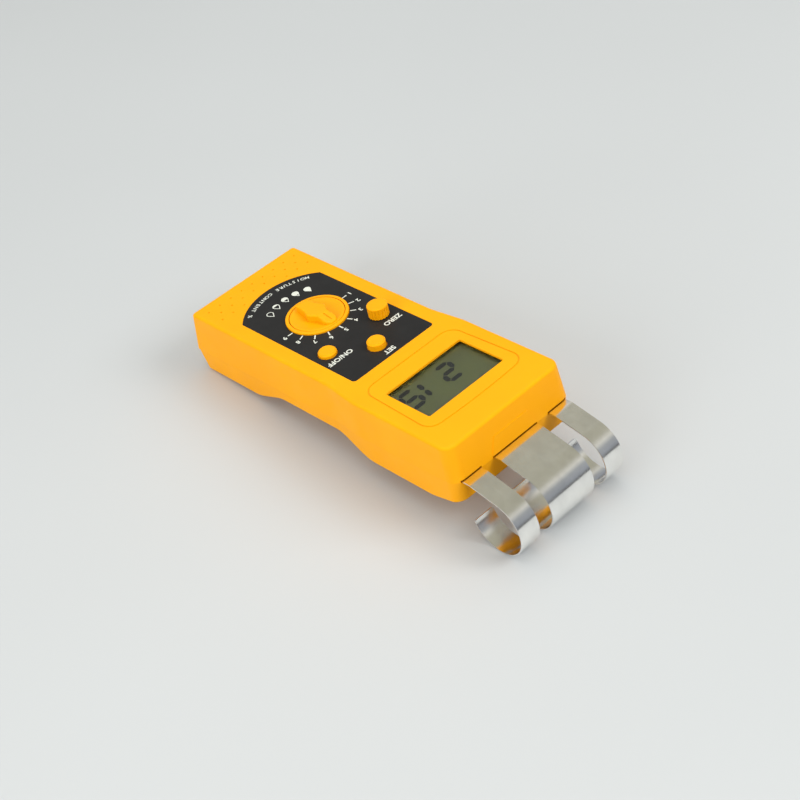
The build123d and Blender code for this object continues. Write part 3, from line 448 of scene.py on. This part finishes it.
def flat_ring(shapes, outside, inside, thickness, matrix):
    """Add the band between two like outlines, with a thickness, to the shapes."""
    rings = [
        [shapes.verts.new(matrix @ Vector((x, y, z))) for x, y in outline]
        for outline, z in ((outside, 0), (outside, thickness), (inside, thickness), (inside, 0))
    ]
    for ring, following in zip(rings, (*rings[1:], rings[0])):
        for i, corner in enumerate(ring):
            j = (i + 1) % len(ring)
            shapes.faces.new((corner, ring[j], following[j], following[i]))


def below_level(outline, level):
    """The part of an outline that lies behind a line across the meter."""
    kept = []
    for i, (x, y) in enumerate(outline):
        before_x, before_y = outline[i - 1]
        if (before_x < level) != (x < level):
            share = (level - before_x) / (x - before_x)
            kept.append((level, before_y + (y - before_y) * share))
        if x < level:
            kept.append((x, y))
    return kept


def lettering(shapes, words, size, matrix, thickness, weight=0.0):
    """Add words, centred on a place and read from the handle end, to the shapes."""
    curve = bpy.data.curves.new("words", "FONT")
    curve.body = words
    curve.size = size
    curve.align_x = "CENTER"
    curve.align_y = "CENTER"
    curve.extrude = thickness / 2
    curve.offset = weight
    curve.resolution_u = 3
    holder = bpy.data.objects.new("words", curve)
    bpy.context.scene.collection.objects.link(holder)
    bpy.context.view_layer.update()
    mesh = bpy.data.meshes.new_from_object(holder.evaluated_get(bpy.context.evaluated_depsgraph_get()))
    mesh.transform(matrix @ READING @ Matrix.Translation((0, 0, thickness / 2)))
    shapes.from_mesh(mesh)
    bpy.data.objects.remove(holder)
    bpy.data.meshes.remove(mesh)
    bpy.data.curves.remove(curve)


def finished_piece(name, shapes, material, body="meter"):
    """Turn gathered shapes into a piece that rides on a body."""
    bmesh.ops.remove_doubles(shapes, verts=shapes.verts, dist=1e-7)
    bmesh.ops.recalc_face_normals(shapes, faces=shapes.faces)
    mesh = bpy.data.meshes.new(name)
    shapes.to_mesh(mesh)
    shapes.free()
    mesh.materials.append(material)
    piece = bpy.data.objects.new(name, mesh)
    bpy.context.scene.collection.objects.link(piece)
    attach(piece, body)
    return piece


def node_height(node):
    """Height above the face's plane of a flat node's top, measured square to the face."""
    inverse = FACE.inverted()
    return max((inverse @ vertex.co).z for vertex in frame["nodes"][node].data.vertices)


# Steps


class METER_OT_case(bpy.types.Operator):
    """Finish the two case halves and the battery door in moulded plastic"""

    bl_idname = "meter.case"
    bl_label = "Case"

    def execute(self, context):
        finishes = context.scene.meter_finishes
        plastic = moulded_plastic("case_plastic", finishes.case_colour, finishes.case_roughness)
        for node in ("front_case", "rear_case", "battery_door"):
            finish_node(node, plastic)
        return {"FINISHED"}


class METER_OT_controls(bpy.types.Operator):
    """Finish the dial, the zero knob and the push buttons"""

    bl_idname = "meter.controls"
    bl_label = "Controls"

    def execute(self, context):
        finishes = context.scene.meter_finishes
        plastic = moulded_plastic(
            "control_plastic", finishes.case_colour, finishes.case_roughness - 0.04, grain=0.04
        )
        for node in ("dial_knob", "zero_knob", "power_button", "mode_button"):
            finish_node(node, plastic)
        return {"FINISHED"}


class METER_OT_label(bpy.types.Operator):
    """Finish the label film and print the dial scale and the words on it"""

    bl_idname = "meter.label"
    bl_label = "Label"

    def execute(self, context):
        finishes = context.scene.meter_finishes
        printing = context.scene.meter_printing
        finish_node("front_label", printed_film("label_film", finishes.label_colour))
        ink = screen_ink("label_ink", finishes.ink_colour)
        height = node_height("front_label")
        scale = bmesh.new()
        half = printing.tick_width / 2
        start = printing.tick_start
        end = start + printing.tick_length
        for position in range(printing.positions):
            angle = pi / 2 - pi * position / (printing.positions - 1)
            outline = ((start, -half), (end, -half), (end, half), (start, half))
            flat_shape(scale, outline, INK_THICKNESS, on_face(0, 0, height, angle))
            reach = printing.numeral_radius
            place = on_face(reach * cos(angle), reach * sin(angle), height)
            lettering(scale, str(position + 1), printing.numeral_size, place, INK_THICKNESS, NUMERAL_WEIGHT)
        finished_piece("dial_scale", scale, ink)
        words = bmesh.new()
        for word, x, y in CONTROL_WORDS:
            lettering(words, word, printing.word_size, on_face(x, y, height), INK_THICKNESS, WORD_WEIGHT)
        finished_piece("control_words", words, ink)
        self.print_title(ink, height)
        return {"FINISHED"}

    def droplet(self, radius, reach):
        """Outline of a droplet round its belly's centre, its point ahead."""
        belly = range(DROPLET_SHOULDER, 361 - DROPLET_SHOULDER, DROPLET_BELLY_STEP)
        return [(reach, 0), *[(radius * cos(radians(turn)), radius * sin(radians(turn))) for turn in belly]]

    def print_title(self, ink, height):
        """A row of droplets and a line of small words, both on arcs round the dial."""
        droplets = bmesh.new()
        outside = self.droplet(*DROPLET_OUTSIDE)
        inside = self.droplet(*DROPLET_INSIDE)
        for index in range(DROPLET_COUNT):
            angle = pi + DROPLET_ROW_STEP * ((DROPLET_COUNT - 1) / 2 - index)
            place = on_face(DROPLET_ROW_RADIUS * cos(angle), DROPLET_ROW_RADIUS * sin(angle), height)
            flat_ring(droplets, outside, inside, INK_THICKNESS, place)
            filled = below_level(inside, FIRST_LEVEL + LEVEL_STEP * index)
            if filled:
                flat_shape(droplets, filled, INK_THICKNESS, place)
        finished_piece("title_droplets", droplets, ink)
        line = bmesh.new()
        step = TITLE_PITCH / TITLE_RADIUS
        for index, letter in enumerate(TITLE):
            if letter == " ":
                continue
            angle = pi - step * ((len(TITLE) - 1) / 2 - index)
            place = on_face(TITLE_RADIUS * cos(angle), TITLE_RADIUS * sin(angle), height, angle + pi)
            lettering(line, letter, TITLE_SIZE, place, INK_THICKNESS, TITLE_WEIGHT)
        finished_piece("title_line", line, ink)


class METER_OT_display(bpy.types.Operator):
    """Finish the display and lay its dark segments on the glass"""

    bl_idname = "meter.display"
    bl_label = "Display"

    def execute(self, context):
        finishes = context.scene.meter_finishes
        printing = context.scene.meter_printing
        finish_node("display_glass", display_film("display_film", finishes.display_colour))
        finish_node("display_window", window_plastic("window_pane"))
        segment_ink = screen_ink("display_segment", (0.002, 0.003, 0.005))
        height = node_height("display_glass")
        digits = bmesh.new()
        window = frame["nodes"]["display_window"].data.vertices
        inverse = FACE.inverted()
        centre_x = sum((inverse @ vertex.co).x for vertex in window) / len(window) - READING_SETBACK
        for cell, character in enumerate(printing.reading):
            centre_y = ((len(printing.reading) - 1) / 2 - cell) * printing.digit_pitch
            for segment in SEGMENTS.get(character, ""):
                place = on_face(centre_x, centre_y, height)
                self.lay_segment(digits, segment, printing.digit_height, place)
        finished_piece("display_digits", digits, segment_ink)
        return {"FINISHED"}

    def lay_segment(self, digits, segment, digit_height, place):
        """One pointed bar of a digit; the digit leans a little to the right."""
        half_height = digit_height / 2
        half_width = digit_height * DIGIT_HALF_WIDTH
        bar = digit_height * BAR_HALF_WIDTH
        ends = {
            "a": ((half_height - bar, half_width), (half_height - bar, -half_width)),
            "g": ((0, half_width), (0, -half_width)),
            "d": ((-half_height + bar, half_width), (-half_height + bar, -half_width)),
            "f": ((half_height - bar, half_width), (0, half_width)),
            "e": ((0, half_width), (-half_height + bar, half_width)),
            "b": ((half_height - bar, -half_width), (0, -half_width)),
            "c": ((0, -half_width), (-half_height + bar, -half_width)),
        }[segment]
        start, end = Vector(ends[0]), Vector(ends[1])
        along = (end - start).normalized()
        across = Vector((-along.y, along.x)) * bar
        start += along * bar * BAR_GAP
        end -= along * bar * BAR_GAP
        outline = [
            start,
            start + along * bar - across,
            end - along * bar - across,
            end,
            end - along * bar + across,
            start + along * bar + across,
        ]
        leaned = [(point.x, point.y - DIGIT_LEAN * point.x) for point in outline]
        flat_shape(digits, leaned, INK_THICKNESS, place)


class METER_OT_electrodes(bpy.types.Operator):
    """Finish the spring-steel electrodes and their clamp"""

    bl_idname = "meter.electrodes"
    bl_label = "Electrodes"

    def execute(self, context):
        finishes = context.scene.meter_finishes
        steel = spring_steel("electrode_steel", finishes.steel_colour, finishes.steel_roughness)
        for node in ("electrode_left", "electrode_centre", "electrode_right", "electrode_tangs"):
            finish_node(node, steel)
        board = moulded_plastic("clamp_board", (0.16, 0.07, 0.03), 0.5, grain=0.2)
        for node in ("electrode_base", "electrode_clamp"):
            finish_node(node, board)
        finish_node("contact_pins", bare_metal("pin_brass", (0.78, 0.56, 0.22), 0.3))
        return {"FINISHED"}


class METER_OT_insides(bpy.types.Operator):
    """Finish the board, switches, battery and screws inside the case"""

    bl_idname = "meter.insides"
    bl_label = "Insides"

    def execute(self, context):
        finish_node("main_board", moulded_plastic("solder_mask", (0.015, 0.12, 0.04), 0.35, grain=0.1))
        black = moulded_plastic("black_moulding", (0.02, 0.02, 0.021), 0.45)
        for node in (
            "board_chips",
            "rotary_housing",
            "rotary_rotor",
            "power_switch",
            "mode_switch",
            "display_frame",
            "battery_snap",
        ):
            finish_node(node, black)
        finish_node("zero_pot", moulded_plastic("pot_blue", (0.03, 0.12, 0.4), 0.4))
        white = moulded_plastic("white_acetal", (0.72, 0.71, 0.66), 0.4)
        for node in ("rotary_shaft", "zero_shaft", "power_plunger", "mode_plunger"):
            finish_node(node, white)
        finish_node("contact_strips", moulded_plastic("contact_rubber", (0.25, 0.24, 0.23), 0.7, grain=0.2))
        finish_node("battery", moulded_plastic("battery_jacket", (0.05, 0.055, 0.06), 0.3))
        finish_node("battery_leads", moulded_plastic("lead_sleeve", (0.35, 0.012, 0.01), 0.45))
        screw = bare_metal("screw_steel", (0.55, 0.55, 0.56), 0.32)
        for node in ("case_screws", "board_screws", "clamp_screws"):
            finish_node(node, screw)
        return {"FINISHED"}


class METER_OT_stage(bpy.types.Operator):
    """Lay the pale floor, set the soft lights and place the camera"""

    bl_idname = "meter.stage"
    bl_label = "Stage"

    def execute(self, context):
        self.lay_floor()
        self.light_room()
        self.place_camera(context)
        context.scene.view_settings.view_transform = "Standard"
        return {"FINISHED"}

    def lay_floor(self):
        """A large pale sheet just under the meter."""
        shapes = bmesh.new()
        bmesh.ops.create_grid(shapes, x_segments=2, y_segments=2, size=FLOOR_REACH)
        mesh = bpy.data.meshes.new("floor")
        shapes.to_mesh(mesh)
        shapes.free()
        mesh.materials.append(floor_sheet("floor_sheet", FLOOR_COLOUR))
        floor = bpy.data.objects.new("floor", mesh)
        floor.location.z = CAD_BOX[0][2] - FLOOR_DROP
        bpy.context.scene.collection.objects.link(floor)

    def light_room(self):
        """A pale room, darker towards its floor line, and soft lights that make no hard reflections."""
        world = bpy.data.worlds.new("room")
        world.use_nodes = True
        tree = world.node_tree
        background = tree.nodes["Background"]
        place = tree.nodes.new("ShaderNodeTexCoord")
        split = tree.nodes.new("ShaderNodeSeparateXYZ")
        ramp = tree.nodes.new("ShaderNodeValToRGB")
        stops = ramp.color_ramp.elements
        stops[0].position = 0.0
        stops[0].color = ROOM_LOWEST
        stops[1].position = 1.0
        stops[1].color = ROOM_OVERHEAD
        for position, colour in ROOM_BANDS:
            stop = stops.new(position)
            stop.color = colour
        tree.links.new(place.outputs["Generated"], split.inputs["Vector"])
        tree.links.new(split.outputs["Z"], ramp.inputs["Fac"])
        tree.links.new(ramp.outputs["Color"], background.inputs["Color"])
        background.inputs["Strength"].default_value = 1.0
        bpy.context.scene.world = world
        for name, place, size, watts, colour in LIGHTS:
            light = bpy.data.lights.new(name, "AREA")
            light.shape = "SQUARE"
            light.size = size
            light.energy = watts
            light.color = colour
            lamp = bpy.data.objects.new(name, light)
            lamp.location = place
            lamp.visible_glossy = False
            lamp.rotation_euler = (-Vector(place)).to_track_quat("-Z", "Y").to_euler()
            bpy.context.scene.collection.objects.link(lamp)

    def place_camera(self, context):
        """Over the electrodes, looking back and down along the meter, a little rolled."""
        camera = bpy.data.cameras.new("camera")
        camera.lens = CAMERA_LENS
        camera.sensor_width = CAMERA_SENSOR
        camera.clip_start = CAMERA_NEAR
        holder = bpy.data.objects.new("camera", camera)
        level = cos(CAMERA_ELEVATION)
        back = Vector(
            (sin(CAMERA_AZIMUTH) * level, -cos(CAMERA_AZIMUTH) * level, sin(CAMERA_ELEVATION))
        )
        turn = back.to_track_quat("Z", "Y").to_matrix().to_4x4() @ Matrix.Rotation(CAMERA_ROLL, 4, "Z")
        holder.matrix_world = Matrix.Translation(CAMERA_AIM + back * CAMERA_DISTANCE) @ turn
        context.scene.collection.objects.link(holder)
        context.scene.camera = holder


OPERATORS = (
    METER_OT_case,
    METER_OT_controls,
    METER_OT_label,
    METER_OT_display,
    METER_OT_electrodes,
    METER_OT_insides,
    METER_OT_stage,
)


class METER_PT_panel(bpy.types.Panel):
    """Steps that finish the meter, in order"""

    bl_idname = "METER_PT_panel"
    bl_label = "Moisture meter"
    bl_space_type = "VIEW_3D"
    bl_region_type = "UI"
    bl_category = "Meter"

    def draw(self, context):
        for operator in OPERATORS:
            self.layout.operator(operator.bl_idname)
        for group in (context.scene.meter_finishes, context.scene.meter_printing):
            box = self.layout.box()
            for name in group.__annotations__:
                box.prop(group, name)


CLASSES = (MeterFinishes, MeterPrinting, *OPERATORS, METER_PT_panel)


def register():
    for item in CLASSES:
        bpy.utils.register_class(item)
    bpy.types.Scene.meter_finishes = bpy.props.PointerProperty(type=MeterFinishes)
    bpy.types.Scene.meter_printing = bpy.props.PointerProperty(type=MeterPrinting)


def unregister():
    del bpy.types.Scene.meter_printing
    del bpy.types.Scene.meter_finishes
    for item in reversed(CLASSES):
        bpy.utils.unregister_class(item)


def main():
    register()
    bpy.ops.meter.case()
    bpy.ops.meter.controls()
    bpy.ops.meter.label()
    bpy.ops.meter.display()
    bpy.ops.meter.electrodes()
    bpy.ops.meter.insides()
    bpy.ops.meter.stage()


if __name__ == "__main__":
    main()
